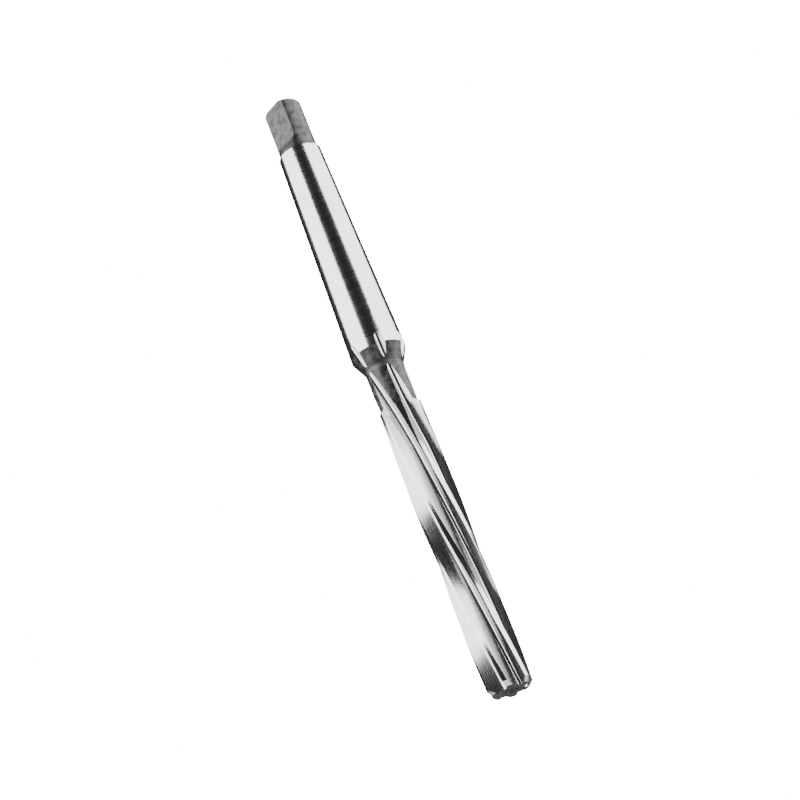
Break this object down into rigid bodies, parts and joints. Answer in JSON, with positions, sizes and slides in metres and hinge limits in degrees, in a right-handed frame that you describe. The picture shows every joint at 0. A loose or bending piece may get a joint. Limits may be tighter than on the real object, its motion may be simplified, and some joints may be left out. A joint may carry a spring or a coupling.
{
  "type": "machine reamer",
  "caption": "Machine reamer with a Morse taper shank and tang, a waisted neck and a long cutting part with left-hand spiral flutes, for finishing drilled holes.",
  "frame": {"origin": "centre of the gauge plane of the Morse taper shank, 3.5 mm above the shoulder where the taper ends", "axes": "+Z along the tool's axis towards the tang, the cutting end points down; the tang's two flats face -Y and +Y"},
  "size_m": [0.0122, 0.0122, 0.146],
  "materials": {
    "steel": "ground bright on the taper, flutes and lands; blackened on the tang; dark and unground on the neck and cone"
  },
  "bodies": {
    "root": {"reamer": "steel"}
  },
  "joints": []
}
